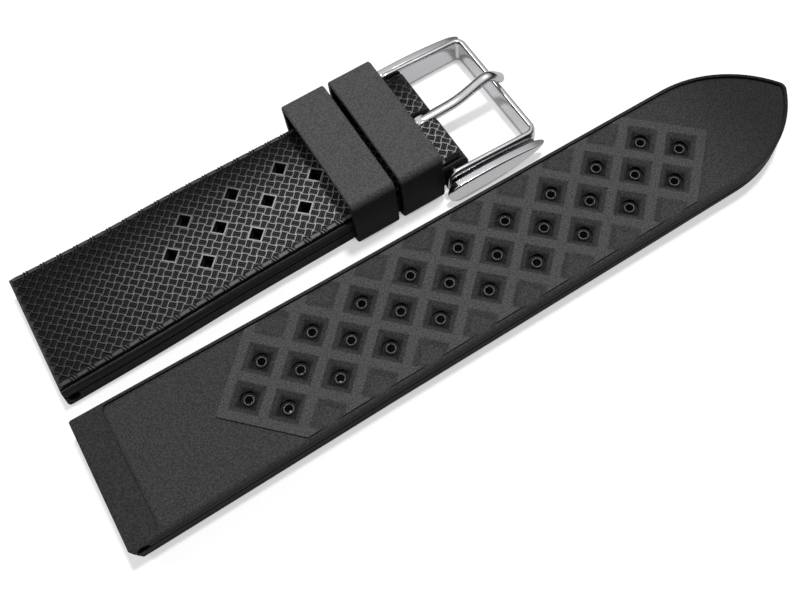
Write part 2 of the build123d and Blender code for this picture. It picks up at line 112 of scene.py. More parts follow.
def buckle_face_height(station):
    """Height of the buckle half's outer face: flat, then a ramp of two parabolas that
    lifts it over the keepers' floors, and a quarter circle down at the end."""
    along = np.clip((station - ramp_start) / (ramp_end - ramp_start), 0, 1)
    eased = np.where(along < 0.5, 2 * along**2, 1 - 2 * (1 - along) ** 2)
    return strap_thickness + strap_lift * eased - lug_drop(station) - end_drop(station)


def tip_face_height(station):
    """Height of the tip half's outer face, which lies down: flat, then one long arc."""
    rise, run = strap_thickness - tail_thickness, tip_length + tail_overrun - tail_start
    radius = (run**2 + rise**2) / (2 * rise)
    along = np.clip(station - tail_start, 0, None)
    return radius - np.sqrt(radius**2 - along**2) + lug_drop(station)


print("thickness", round(strap_thickness, 3), "lift", round(strap_lift, 3))

# %% [markdown]
# ## Meshes from arrays
# A relief of many equal cells is one small patch of faces, copied to every place with
# numpy. The helper below turns arrays of points and faces into a mesh object, in metres,
# with the object itself left at the origin. It can also keep how high each point stands
# on the relief, from 0 in a groove to 1 on a crown, which the finish reads later.

# %% A mesh from arrays of points and faces
def mesh_from_arrays(name, points, faces, relief=None):
    """Makes an object from points in millimetres and faces as rows of point numbers."""
    mesh = bpy.data.meshes.new(name)
    mesh.from_pydata((np.asarray(points) * MM).tolist(), [], np.asarray(faces).tolist())
    if relief is not None:
        mesh.attributes.new("relief", "FLOAT", "POINT").data.foreach_set("value", relief)
    mesh.update()
    piece = bpy.data.objects.new(name, mesh)
    bpy.context.scene.collection.objects.link(piece)
    print(name, len(mesh.vertices), "points", len(mesh.polygons), "faces")
    return piece


def grid_faces(rows, columns):
    """Faces between the points of a grid, numbered row by row."""
    i, j = np.meshgrid(np.arange(rows - 1), np.arange(columns - 1), indexing="ij")
    corner = (i * columns + j).ravel()
    return np.stack([corner, corner + columns, corner + columns + 1, corner + 1], axis=-1)


# %% [markdown]
# ## The woven relief
# The outer face of such a strap is moulded as a basket weave: small squares turned by 45
# degrees, each with three grooves and two ribs, which run the other way in the next
# square. Drawn as a picture it would look flat at a low angle, so here it is real relief.
# Each square is really a block a little longer along its grooves than across them, so
# that the ridges between the blocks jog from side to side. One block is one patch of
# faces with V-shaped grooves and a flat ridge round them, and a small flat square fills
# the place where four blocks meet.

# %% One square of the weave
hole_pitch = 8.62
squares_per_pitch = 5
square = hole_pitch / np.sqrt(2) / squares_per_pitch
relief_height, face_gap, sunk = 0.18, 0.01, -0.02
flank_ridge, end_ridge, groove, jog = 0.07, 0.04, 0.2, 0.09
groove_count = 3
rib = (square - 2 * (jog + flank_ridge) - groove_count * groove) / (groove_count - 1)
rib_level = 0.34


def weave_patch():
    """Points, levels and faces of one block: across it the level goes down and up as a
    row of V-shaped grooves. It is drawn in by the jog across its grooves and reaches
    out by the jog along them. The last face is the square at its far corner."""
    starts = jog + flank_ridge + np.arange(groove_count) * (groove + rib)
    across = np.stack([starts, starts + groove / 2, starts + groove], axis=-1).ravel()
    level = np.tile([rib_level, 0.0, rib_level], groove_count)
    level[[0, -1]] = 1
    across = np.concatenate([[jog], across, [square - jog]])
    level = np.concatenate([[1], level, [1]])
    ends = np.array([0, end_ridge, end_ridge + groove / 2]) - jog
    along = np.concatenate([ends, square - ends[::-1]])
    on_ridge = np.array([True, True, False, False, True, True])
    a, b = np.meshgrid(across, along, indexing="ij")
    levels = np.where(on_ridge[None, :], 1.0, level[:, None]).ravel()
    corner = square + jog * np.array([(-1, -1), (1, -1), (1, 1), (-1, 1)])
    places = np.concatenate([np.stack([a, b], axis=-1).reshape(-1, 2), corner])
    faces = np.concatenate([grid_faces(len(across), len(along)), len(levels) + np.arange(4)[None]])
    return places, np.concatenate([levels, np.ones(4)]), faces


patch_places, patch_levels, patch_faces = weave_patch()
print("one block:", len(patch_faces), "faces, square", square.round(3), "rib", rib.round(3))

# %% [markdown]
# The blocks are counted along two axes turned by 45 degrees. Every hole sits on a
# crossing of their ridges, five squares from the next one, so both share the same counts.

# %% Where the holes and the squares are
spare_squares = 12


def hole_crossings(hole_count):
    """The crossings of the ridges that the holes sit on, in turned axes, counted in
    squares: a row along the middle and one on each side, half a pitch along."""
    middle = [(2 * i, 0) for i in range(hole_count)]
    sides = [(2 * i + 1, row) for i in range(hole_count - 1) for row in (-1, 1)]
    column, row = np.array(middle + sides).T
    return np.stack([(column - row) // 2, (column + row) // 2], axis=-1) * squares_per_pitch


def weave_squares(first_hole, length, half_width, holes):
    """Numbers of the squares on a half, but for the four round each hole."""
    reach = int(length / square) + spare_squares
    count = np.arange(-reach, reach)
    p, q = [v.ravel() for v in np.meshgrid(count, count, indexing="ij")]
    x = first_hole + (p + q + 1) * square / np.sqrt(2)
    y = (q - p) * square / np.sqrt(2)
    near = (x > -square) & (x < length + square) & (np.abs(y) < half_width(x) + square)
    p, q = p[near], q[near]
    from_hole = np.stack([p, q], axis=-1)[:, None] - holes[None]
    beside = ((from_hole == 0) | (from_hole == -1)).all(axis=-1).any(axis=-1)
    return p[~beside], q[~beside]


# %% [markdown]
# Round each hole the four squares make room for a plain raised frame. Like the squares it
# is one patch, a flat ring whose inner edge drops into the hole, copied to every hole.

# %% One frame round a hole
hole_half_side, frame_level = 0.975, 1.1


def frame_patch():
    """A ring of four faces between the outer square and the hole, and its inner wall."""
    turn = np.array([(-1, -1), (1, -1), (1, 1), (-1, 1)])
    outer = turn * square
    places = np.concatenate([outer, turn * hole_half_side, turn * hole_half_side])
    levels = np.repeat([frame_level, frame_level, 0.0], len(turn))
    i = np.arange(len(turn))
    after = (i + 1) % len(turn)
    count = len(turn)
    ring = [np.stack([i + k, after + k, after + k + count, i + k + count], axis=-1) for k in (0, count)]
    return places, levels, np.concatenate(ring)


# %% [markdown]
# Copies of the patch go to every square, its axes swapped in every second one. The sheet
# ends at the stitches, at the lug's edge, at the rounded end and at the notch. There its
# last points are pulled to the border and sunk into the rubber, so that no edge gapes.

# %% Lay the weave and the frames on a half
def copies(patch, corners, turned):
    """Copies of a patch at many corners in turned axes, its axes swapped where turned."""
    places, levels, faces = patch
    local = np.repeat(places[None], len(corners), axis=0)
    local = np.where(turned[:, None, None], local[..., ::-1], local) + corners[:, None]
    faces = faces[None] + (np.arange(len(corners)) * len(places))[:, None, None]
    faces[turned] = faces[turned][..., ::-1]
    return local.reshape(-1, 2), np.tile(levels, len(corners)), faces.reshape(-1, 4)


def beside_notch(x, y, rear, half_side):
    """Moves the points that lie over the notch to its nearest edge."""
    inside = (x > rear) & (np.abs(y) < half_side)
    to_rear = inside & (x - rear < half_side - np.abs(y))
    hand = np.where(y < 0, -1.0, 1.0)
    return np.where(to_rear, rear, x), np.where(inside & ~to_rear, hand * half_side, y), inside


def half_relief(first_hole, length, half_width, hole_count, band, start, end_margin, notch):
    """Stations, offsets from the middle, levels and faces of the relief on one half, and
    which of its points lie at the border. notch is its rear station and half its width."""
    holes = hole_crossings(hole_count)
    p, q = weave_squares(first_hole, length, half_width, holes)
    corners = np.stack([p, q], axis=-1) * square
    squares = copies((patch_places, patch_levels, patch_faces), corners, (p + q) % 2 == 1)
    frames = copies(frame_patch(), holes * square, np.zeros(len(holes), bool))
    places = np.concatenate([squares[0], frames[0]])
    levels = np.concatenate([squares[1], frames[1]])
    faces = np.concatenate([squares[2], frames[2] + len(squares[0])])
    x = first_hole + (places[:, 0] + places[:, 1]) / np.sqrt(2)
    y = (places[:, 1] - places[:, 0]) / np.sqrt(2)
    outside = (np.abs(y) > half_width(x) - band) | (x < start) | (x > length - end_margin)
    faces = faces[~outside[faces].all(axis=1)]
    x = np.clip(x, start, length - end_margin)
    limit = np.maximum(half_width(x) - band, 0)
    x, y, over_notch = beside_notch(x, np.clip(y, -limit, limit), *notch)
    faces = faces[~over_notch[faces].all(axis=1)]
    outside = outside | over_notch
    return x, y, np.where(outside, 0, levels), faces, outside


def place_relief(name, start_x, centre_y, x, y, levels, faces, outside, face_height, side):
    """Turns stations into places on the outer face. side is 1 for a face that looks up
    and -1 for one that looks down, whose faces are turned over to point outwards."""
    height = np.where(outside, sunk, face_gap + levels * relief_height)
    points = np.stack([start_x + x, centre_y + y, face_height(x) + side * height], axis=-1)
    used, faces = np.unique(faces if side > 0 else faces[:, ::-1], return_inverse=True)
    return mesh_from_arrays(name, points[used], faces.reshape(-1, 4), levels[used])


# %% [markdown]
# The relief is laid on each half in turn. The buckle half's outer face looks up. The tip
# half lies on its outer face, so there the relief is turned over and hangs below.

# %% The weave of both halves
stitch_band, lug_margin, end_margin = 1.15, 0.25, 0.6
relief_start = lug_lean + lug_margin
buckle_weave = place_relief(
    "buckle_half_weave", buckle_start, buckle_middle,
    *half_relief(buckle_first_hole, buckle_length, buckle_half_width, buckle_hole_count, stitch_band,
                 relief_start, end_margin, (buckle_length - notch_depth, notch_half_width)),
    buckle_face_height, 1)
tip_weave = place_relief(
    "tip_half_weave", tip_start, tip_middle,
    *half_relief(tip_first_hole, tip_length, tip_half_width, tip_hole_count, stitch_band,
                 relief_start, stitch_band, (tip_length, 0)),
    tip_face_height, -1)

# %% [markdown]
# ## The moulded stitches
# Along both long edges the mould imitates a seam: long stitches that lie along the edge,
# and between two of them a pair of short ones that cross it at a slant. Each is a small
# pillow, low at its rim and flat on top. Their places are steps of equal length along
# the outline, so that they also follow the curved point.

# %% Rows of stitches
stitch_pitch, stitch_length, stitch_width = 2.87, 1.95, 0.7
short_length, short_width, short_spread, slant = 1.0, 0.26, 0.24, np.radians(66)
stitch_inset, stitch_height, outline_samples = 0.78, 0.19, 4000
pillow_rows, pillow_columns, pillow_power = 9, 7, 12


def pillow(length, width, angle):
    """A grid over a rounded bar: level 1 on top, falling to 0 with the twelfth power of
    the distance from its middle. It is turned by an angle in its own plane."""
    rows, columns = np.linspace(-1, 1, pillow_rows), np.linspace(-1, 1, pillow_columns)
    u, v = np.meshgrid(rows, columns, indexing="ij")
    u, v = np.sin(u * np.pi / 2), np.sin(v * np.pi / 2)
    levels = (1 - u**pillow_power) * (1 - v**pillow_power)
    a, b = u * length / 2, v * width / 2
    c, s = np.cos(angle), np.sin(angle)
    turned = np.stack([a * c - b * s, a * s + b * c], axis=-1)
    return turned.reshape(-1, 2), levels.ravel(), grid_faces(*u.shape)


def stitch_row(length, half_width, side, start, end):
    """All stitches along one side: stations, offsets, levels and faces."""
    station = np.linspace(start, end, outline_samples)
    offset = side * (half_width(station) - stitch_inset)
    run = np.concatenate([[0], np.cumsum(np.hypot(np.diff(station), np.diff(offset)))])
    heading = np.arctan2(np.gradient(offset), np.gradient(station))
    count = int((run[-1] - stitch_length) / stitch_pitch) + 1
    longs = stitch_length / 2 + np.arange(count) * stitch_pitch
    gaps = longs[:-1] + stitch_pitch / 2
    rows = [(pillow(stitch_length, stitch_width, 0), longs),
            (pillow(short_length, short_width, side * slant), gaps - short_spread),
            (pillow(short_length, short_width, side * slant), gaps + short_spread)]
    parts, seen = [], 0
    for (local, levels, faces), at in rows:
        turn = np.interp(at, run, heading)[:, None]
        c, s = np.cos(turn), np.sin(turn)
        x = np.interp(at, run, station)[:, None] + local[:, 0] * c - local[:, 1] * s
        y = np.interp(at, run, offset)[:, None] + local[:, 0] * s + local[:, 1] * c
        numbers = faces[None] + (seen + np.arange(len(at)) * len(local))[:, None, None]
        parts.append((x.ravel(), y.ravel(), np.tile(levels, len(at)), numbers.reshape(-1, 4)))
        seen += len(at) * len(local)
    return [np.concatenate([part[k] for part in parts]) for k in range(4)]


# The black sheet under each row of stitches is painted shade in the channel at the ledge's foot.
ledge_width, ledge_height, edge_break = 0.35, 0.6, 0.15
strip_tuck, strip_overlap, strip_lift, strip_steps = 0.02, 0.05, 0.012, 160


def painted_shade_strip(length, half_width, side, start, end):
    """A black sheet of painted shade in the channel under one row: from the foot of the ledge
    over its edge to the weave, as a profile of insets and heights carried along the outline."""
    station = np.linspace(start, end, strip_steps)
    tucked = ledge_width - strip_tuck
    inset = np.array([tucked, tucked, ledge_width + edge_break, stitch_band + strip_overlap])
    height = np.array([strip_overlap - ledge_height, -edge_break, strip_lift, strip_lift])
    x = np.repeat(station, len(inset))
    y = side * np.maximum(half_width(station)[:, None] - inset[None], 0).ravel()
    faces = grid_faces(len(station), len(inset))
    return x, y, np.tile(height, len(station)), faces if side < 0 else faces[:, ::-1]


def lay_stitches(name, start_x, centre_y, length, half_width, face_height, side, end):
    """Both rows of a half and the black sheets of painted shade in their channels as one
    piece, the stitches' rims sunk in.
    """
    x, y, height, levels, faces, seen = [], [], [], [], [], 0
    for edge in (-1, 1):
        row = stitch_row(length, half_width, edge, relief_start, end)
        shade_sheet = painted_shade_strip(length, half_width, edge, relief_start, end)
        for part, up, level in ((row, sunk + row[2] * (stitch_height - sunk), row[2]),
                                (shade_sheet, shade_sheet[2], np.zeros(len(shade_sheet[0])))):
            x.append(part[0])
            y.append(part[1])
            height.append(up)
            levels.append(level)
            faces.append(part[3] + seen)
            seen += len(part[0])
    x, y, height, levels, faces = [np.concatenate(v) for v in (x, y, height, levels, faces)]
    points = np.stack([start_x + x, centre_y + y, face_height(x) + side * height], axis=-1)
    return mesh_from_arrays(name, points, faces if side > 0 else faces[:, ::-1], levels)


buckle_stitches = lay_stitches(
    "buckle_half_stitches", buckle_start, buckle_middle, buckle_length, buckle_half_width,
    buckle_face_height, 1, buckle_length - stitch_band)
tip_stitches = lay_stitches(
    "tip_half_stitches", tip_start, tip_middle, tip_length, tip_half_width,
    tip_face_height, -1, tip_length - 2 * stitch_band)

# %% [markdown]
# ## The eyelet rims
# Round each eyelet in the waffle's cells the mould leaves a thin raised rim. Here it is
# painted paler than the rubber round it, as a highlight on the rim. Each rim is a ring,
# a circle carried round a circle, and one patch is copied to every cell.

# %% A ring at every eyelet
rim_radius, rim_wire_radius, rim_height = 0.72, 0.1, 4.24
rim_steps, wire_steps = 24, 8


def ring_patch():
    """A ring round Z: a circle of the wire's radius carried round the rim's circle."""
    turn, roll = np.meshgrid(np.arange(rim_steps) * 2 * np.pi / rim_steps,
                             np.arange(wire_steps) * 2 * np.pi / wire_steps, indexing="ij")
    reach = rim_radius + rim_wire_radius * np.cos(roll)
    height = rim_wire_radius * np.sin(roll)
    points = np.stack([reach * np.cos(turn), reach * np.sin(turn), height], axis=-1)
    i, j = np.meshgrid(np.arange(rim_steps), np.arange(wire_steps), indexing="ij")
    i, j = i.ravel(), j.ravel()
    after, above = (i + 1) % rim_steps, (j + 1) % wire_steps
    faces = np.stack([i * wire_steps + j, after * wire_steps + j, after * wire_steps + above,
                      i * wire_steps + above], axis=-1)
    return points.reshape(-1, 3), faces


ring_points, ring_faces = ring_patch()
crossings = hole_crossings(tip_hole_count) / squares_per_pitch
cell_x = tip_start + tip_first_hole + crossings.sum(axis=1) * hole_pitch / 2
cell_y = tip_middle + (crossings[:, 1] - crossings[:, 0]) * hole_pitch / 2
cell_centres = np.column_stack([cell_x, cell_y, np.full(len(cell_x), rim_height)])
tip_rims = mesh_from_arrays(
    "tip_half_eyelet_rims", (cell_centres[:, None] + ring_points).reshape(-1, 3),
    (ring_faces[None] + np.arange(len(cell_x))[:, None, None] * len(ring_points)).reshape(-1, 4))
tip_rims.data.polygons.foreach_set("use_smooth", [True] * len(tip_rims.data.polygons))

# %% [markdown]
# The two halves are separate bodies that move apart, so every added piece is told which
# of them carries it.

# %% Each relief rides on its own half
riders = {"buckle_strap": (buckle_weave, buckle_stitches),
          "tip_strap": (tip_weave, tip_stitches, tip_rims)}
for body, pieces in riders.items():
    for piece in pieces:
        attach(piece, body)
    print(body, "carries", [piece.name for piece in pieces])

# %% [markdown]
# ## The buckle's smooth forms
# The frame is a cast and tumbled part: a round-topped rail in a U and a leaf-shaped cheek
# outside each arm, with a low web between them at the bottom of a dark gap. Polished
# steel shows every facet, so these forms are made here as smooth surfaces in the place of
# the CAD's frame and tongue. Each bar is one section, a superellipse, carried along a
# path. Its ends shrink to a point as a superellipse does too, which closes them.

# %% Bars carried along a path
cap_steps, section_steps, merge_distance, hinge_inset = 10, 72, 0.0005, 2.8


def bar_stations(length, cap, middle):
    """Distances along a bar, close together in the two caps."""
    head = cap * (1 - np.cos(np.linspace(0, np.pi / 2, cap_steps)))
    return np.concatenate([head, np.linspace(cap, length - cap, middle)[1:-1], length - head[::-1]])


def cap_shrink(run, cap, power):
    """1 along the bar, falling to 0 at its two ends within the length of a cap."""
    depth = np.clip(1 - np.minimum(run, run[-1] - run) / cap, 0, 1)
    return (1 - depth**power) ** (1 / power)


def bar_surface(centre, side, half_width, half_height, power):
    """Points and faces of a bar. Its section is the superellipse
    |across / half_width|^power + |up / half_height|^power = 1, up being +Z turned to
    stand square to the path."""
    angle = np.linspace(0, 2 * np.pi, section_steps + 1)
    wave = np.stack([np.cos(angle), np.sin(angle)])
    across, up = np.sign(wave) * np.abs(wave) ** (2 / power)
    path = np.gradient(centre, axis=0)
    path /= np.linalg.norm(path, axis=1, keepdims=True)
    rise = np.cross(path, side)
    rise *= np.where(rise[:, 2:3] < 0, -1, 1)
    points = (centre[:, None] + side[:, None] * (half_width[:, None] * across)[..., None]
              + rise[:, None] * (half_height[:, None] * up)[..., None])
    return points.reshape(-1, 3), grid_faces(len(centre), section_steps + 1)


def smooth_piece(name, surfaces):
    """One object of several closed surfaces: seams and poles merged, normals outward."""
    points = np.concatenate([s[0] for s in surfaces])
    first = np.cumsum([0] + [len(s[0]) for s in surfaces[:-1]])
    faces = np.concatenate([s[1] + k for s, k in zip(surfaces, first)])
    piece = mesh_from_arrays(name, points, faces)
    shell = bmesh.new()
    shell.from_mesh(piece.data)
    bmesh.ops.remove_doubles(shell, verts=shell.verts, dist=merge_distance * MM)
    bmesh.ops.recalc_face_normals(shell, faces=shell.faces)
    shell.to_mesh(piece.data)
    shell.free()
    piece.data.polygons.foreach_set("use_smooth", [True] * len(piece.data.polygons))
    return piece


hinge = np.array([buckle_box[1, 0] - hinge_inset, buckle_middle, strap_lift + strap_thickness / 2])
print("frame and tongue turn on", hinge.round(3))

# %% [markdown]
# The rail starts and ends in the two bosses that hold the spring bar. It is lower at the
# front than at the bosses, so that the tongue comes to lie over it.

# %% The frame's rail: a U of two arms and the front bar
rail_inner, rail_half_width = 10.7, 0.64
front_inner, corner_radius, boss_radius = 14.05, 1.3, 2.2
hinge_top, front_top, frame_foot = 5.75, 4.9, 0.05
rail_steps, rail_power, rail_wide_power, rail_tall_power = 180, 3.0, 8, 2.2


def rail_surface():
    """The U's middle line by its length from the front bar's middle: straight to the
    corner, a quarter circle, and straight back to the boss."""
    half_span, front = rail_inner + rail_half_width, front_inner + rail_half_width
    straight = half_span - corner_radius
    arm = front - corner_radius + boss_radius
    total = 2 * (straight + corner_radius * np.pi / 2 + arm)
    run = bar_stations(total, boss_radius, rail_steps)
    from_middle = run - total / 2
    turn = np.clip((np.abs(from_middle) - straight) / corner_radius, 0, np.pi / 2)
    sign = np.sign(from_middle)
    back = np.clip(np.abs(from_middle) - straight - corner_radius * np.pi / 2, 0, None)
    x = front - corner_radius * (1 - np.cos(turn)) - back
    y = sign * (np.minimum(np.abs(from_middle), straight) + corner_radius * np.sin(turn))
    top = front_top + (hinge_top - front_top) * np.clip(1 - x / front, 0, 1)
    centre = np.stack([x, y, (top + frame_foot) / 2 - hinge[2]], axis=-1) + hinge
    side = np.stack([np.cos(turn), sign * np.sin(turn), 0 * x], axis=-1)
    wide = rail_half_width * cap_shrink(run, boss_radius, rail_wide_power)
    tall = (top - frame_foot) / 2 * cap_shrink(run, boss_radius, rail_tall_power)
    return bar_surface(centre, side, wide, tall, rail_power)


# %% [markdown]
# A cheek is a straight bar whose upper edge falls and whose lower edge rises towards the
# front, which gives it the outline of a leaf. A web is a plain bar between it and the rail.

# %% Straight bars: the webs and the cheeks
bar_steps = 48
cheek_middle, cheek_half_width, cheek_height, cheek_reach = 12.93, 0.67, 4.5, 2.9
cheek_front, cheek_fall, cheek_foot_rise, sweep_start = 15.5, 1.4, 2.6, 0.3
cheek_power, cheek_caps = 9.0, (2.4, 2.2, 2.0)
web_start, web_end, web_middle, web_half_width = 0.5, 14.2, 12.15, 0.5
web_top, web_foot, web_power, web_caps = 3.2, 0.6, 6.0, (0.4, 4, 4)


def straight_bar(start, end, half_width, top, foot, power, caps):
    """A bar between two places in the frame's plan. top and foot are heights, or
    functions of the share of the way along. caps are the cap's length and its powers
    for the width and the height."""
    start, end = np.array(start, float), np.array(end, float)
    length = np.linalg.norm(end - start)
    cap, wide_power, tall_power = caps
    run = bar_stations(length, cap, bar_steps)
    share = run / length
    plan = start + (end - start) * share[:, None]
    tops, feet = [level(share) if callable(level) else np.full(len(run), level)
                  for level in (top, foot)]
    centre = np.column_stack([plan, (tops + feet) / 2 - hinge[2]]) + hinge
    heading = (end - start) / length
    side = np.tile([-heading[1], heading[0], 0], (len(run), 1))
    return bar_surface(centre, side, half_width * cap_shrink(run, cap, wide_power),
                       (tops - feet) / 2 * cap_shrink(run, cap, tall_power), power)


def cheek_sweep(share):
    """0 along the cheek's first part, then growing to 1 with the square of the way."""
    return np.clip((share - sweep_start) / (1 - sweep_start), 0, 1) ** 2


def cheek_foot(share):
    """The cheek's lower edge: just over the surface at first, then rising to the front."""
    return frame_foot + cheek_foot_rise * cheek_sweep(share)


def cheek_top(share):
    """The cheek's upper edge: level at first, then falling to the front."""
    return cheek_height - cheek_fall * cheek_sweep(share)


frame_surfaces, web_surfaces = [rail_surface()], []
for hand in (-1, 1):
    frame_surfaces.append(straight_bar(
        (-cheek_reach, hand * cheek_middle), (cheek_front, hand * cheek_middle), cheek_half_width,
        cheek_top, cheek_foot, cheek_power, cheek_caps))
    web_surfaces.append(straight_bar(
        (web_start, hand * web_middle), (web_end, hand * web_middle), web_half_width,
        web_top, web_foot, web_power, web_caps))
frame_piece = smooth_piece("buckle_frame_polished", frame_surfaces)
web_piece = smooth_piece("buckle_frame_webs", web_surfaces)

# %% [markdown]
# The tongue is a flattened rod on a short barrel, which turns on the spring bar. A few
# places along its middle line are joined by cutting their corners until the line is round.

# %% The tongue: a rod along a line that bends up, over the front bar and down
tongue_places = np.array([(-2.0, 1.0), (-0.9, 1.7), (3.4, 1.72), (7.0, 1.88), (10.0, 3.0), (12.4, 4.05),
                          (13.6, 3.75), (15.75, 1.7)])
rod_half_width, rod_half_height, corner_cuts = 0.95, 0.78, 4
rod_cap, rod_steps, rod_cap_power, rod_power = 0.45, 90, 2.5, 2.1
barrel_radius, barrel_edge, barrel_steps, round_power = 2.45, 0.3, 6, 2.0


def eased_line(places, cuts):
    """Cuts every corner of a line at its quarters, again and again, and keeps its ends."""
    for _ in range(cuts):
        near, far = places[:-1] * 0.75 + places[1:] * 0.25, places[:-1] * 0.25 + places[1:] * 0.75
        middle = np.stack([near, far], axis=1).reshape(-1, 2)
        places = np.concatenate([places[:1], middle, places[-1:]])
    return places


def rod_surface():
    """The rod's middle line, measured by length, with a short rounded cap at each end."""
    line = eased_line(tongue_places, corner_cuts)
    run = np.concatenate([[0], np.cumsum(np.linalg.norm(np.diff(line, axis=0), axis=1))])
    at = bar_stations(run[-1], rod_cap, rod_steps)
    x, z = np.interp(at, run, line[:, 0]), np.interp(at, run, line[:, 1])
    centre = np.stack([x, 0 * x, z], axis=-1) + hinge
    side = np.tile([0.0, 1.0, 0.0], (len(at), 1))
    shrink = cap_shrink(at, rod_cap, rod_cap_power)
    return bar_surface(centre, side, rod_half_width * shrink, rod_half_height * shrink, rod_power)


def barrel_surface():
    """The barrel on the spring bar: a short round bar across the strap."""
    run = bar_stations(2 * rod_half_width, barrel_edge, barrel_steps)
    centre = np.stack([0 * run, run - rod_half_width, 0 * run], axis=-1) + hinge
    side = np.tile([1.0, 0.0, 0.0], (len(run), 1))
    radius = barrel_radius - barrel_edge * (1 - cap_shrink(run, barrel_edge, round_power))
    radius[[0, -1]] = 0
    return bar_surface(centre, side, radius, radius, round_power)


tongue_piece = smooth_piece("buckle_tongue_polished", [rod_surface(), barrel_surface()])
for piece, node in ((frame_piece, "buckle_frame"), (tongue_piece, "buckle_tongue")):
    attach(piece, node)
    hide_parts(node)
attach(web_piece, "buckle_frame")

# %% [markdown]
# ## Colours and one way to build materials
# Colours are written as sRGB hex, as a paint chart gives them, and turned to the linear
# values that the shader works in. One function adds a node with its settings and links.

# %% Colour and node helpers
def linear(hex_colour):
    """sRGB hex to linear RGBA, by the sRGB curve."""
    channels = np.array([int(hex_colour[i : i + 2], 16) for i in (1, 3, 5)]) / 255
    channels = np.where(channels <= 0.04045, channels / 12.92, ((channels + 0.055) / 1.055) ** 2.4)
    return (*channels.tolist(), 1.0)


def new_material(name):
    """An empty node material with its Principled shader and its output."""
    material = bpy.data.materials.new(name)
    material.use_nodes = True
    tree = material.node_tree
    shader = next(n for n in tree.nodes if n.type == "BSDF_PRINCIPLED")
    return material, tree, shader


def add_node(tree, kind, settings=None, inputs=None, links=None):
    """Adds a node: settings are its properties, inputs its socket values, and links give
    for each of its inputs the socket that feeds it."""
    node = tree.nodes.new(kind)
    for key, value in (settings or {}).items():
        setattr(node, key, value)
    for key, value in (inputs or {}).items():
        node.inputs[key].default_value = value
    for key, socket in (links or {}).items():
        tree.links.new(socket, node.inputs[key])
    return node


def noise(tree, place, size, detail=2.0):
    """A noise whose grain is this many millimetres wide, at a place in metres."""
    return add_node(tree, "ShaderNodeTexNoise", inputs={"Scale": 1 / (size * MM), "Detail": detail},
                    links={"Vector": place}).outputs["Fac"]


def spread(tree, value, source=(0.0, 1.0), result=(0.0, 1.0), curve="LINEAR"):
    """Carries one range of a value over to another, and stops at the ends of both."""
    ends = {"From Min": source[0], "From Max": source[1], "To Min": result[0], "To Max": result[1]}
    return add_node(tree, "ShaderNodeMapRange", {"interpolation_type": curve}, inputs=ends,
                    links={"Value": value}).outputs["Result"]


def smooth_share(tree, value, low, high):
    """A share that grows from 0 to 1 between two places, in millimetres."""
    return spread(tree, value, (low * MM, high * MM), curve="SMOOTHSTEP")


def maths(tree, operation, first, second):
    """Two values put together by one operation. Each is a socket or a number."""
    node = add_node(tree, "ShaderNodeMath", {"operation": operation})
    for key, value in enumerate((first, second)):
        if isinstance(value, float):
            node.inputs[key].default_value = value
        else:
            tree.links.new(value, node.inputs[key])
    return node.outputs["Value"]


def product(tree, first, second):
    """The product of two values."""
    return maths(tree, "MULTIPLY", first, second)


def blended(tree, share, first, second):
    """Two colours mixed by a share. Each is a hex value or a socket."""
    node = add_node(tree, "ShaderNodeMix", {"data_type": "RGBA"}, links={"Factor": share})
    for key, colour in (("A", first), ("B", second)):
        if isinstance(colour, str):
            node.inputs[key].default_value = linear(colour)
        else:
            tree.links.new(colour, node.inputs[key])
    return node.outputs["Result"]


noise_middle = (0.3, 0.7)
print("pure white is", linear("#ffffff"))

# %% [markdown]
# ## The strap's rubber
# The halves are black synthetic rubber, moulded in a steel tool. Carbon black makes it
# almost neutral and dark. The tool's fine blasted skin leaves it satin, with a grain of
# about a fifth of a millimetre that shows as a faint speckle. Mineral filler makes its
# gloss weaker than that of clear plastic with the same index. Shade is painted into its
# colour: darker low on the sides, in wells and corners and towards the tail, and paler
# on the raised faces.

# %% Moulded rubber
grain_size, patch_size, highest_step = 0.22, 9.0, 12.0
# The tail is painted darker, as shade: between these two stations along the strap its tone falls to a
# share of the rest.
grain_middle, tail_shade_span, tail_shade_share = (0.35, 0.65), (38.0, 56.0), 0.5
rubber_index, gloss_swing, grain_strength = 1.5, 0.02, 0.5
rubber_sheen, relief_sheen = 0.05, 0.1


def finish_rubber(tree, shader, colour, gloss, sheen):
    """Links the colour and the gloss and sets rubber's index and its weak sheen."""
    tree.links.new(colour, shader.inputs["Base Color"])
    tree.links.new(gloss, shader.inputs["Roughness"])
    shader.inputs["IOR"].default_value = rubber_index
    shader.inputs["Specular IOR Level"].default_value = sheen


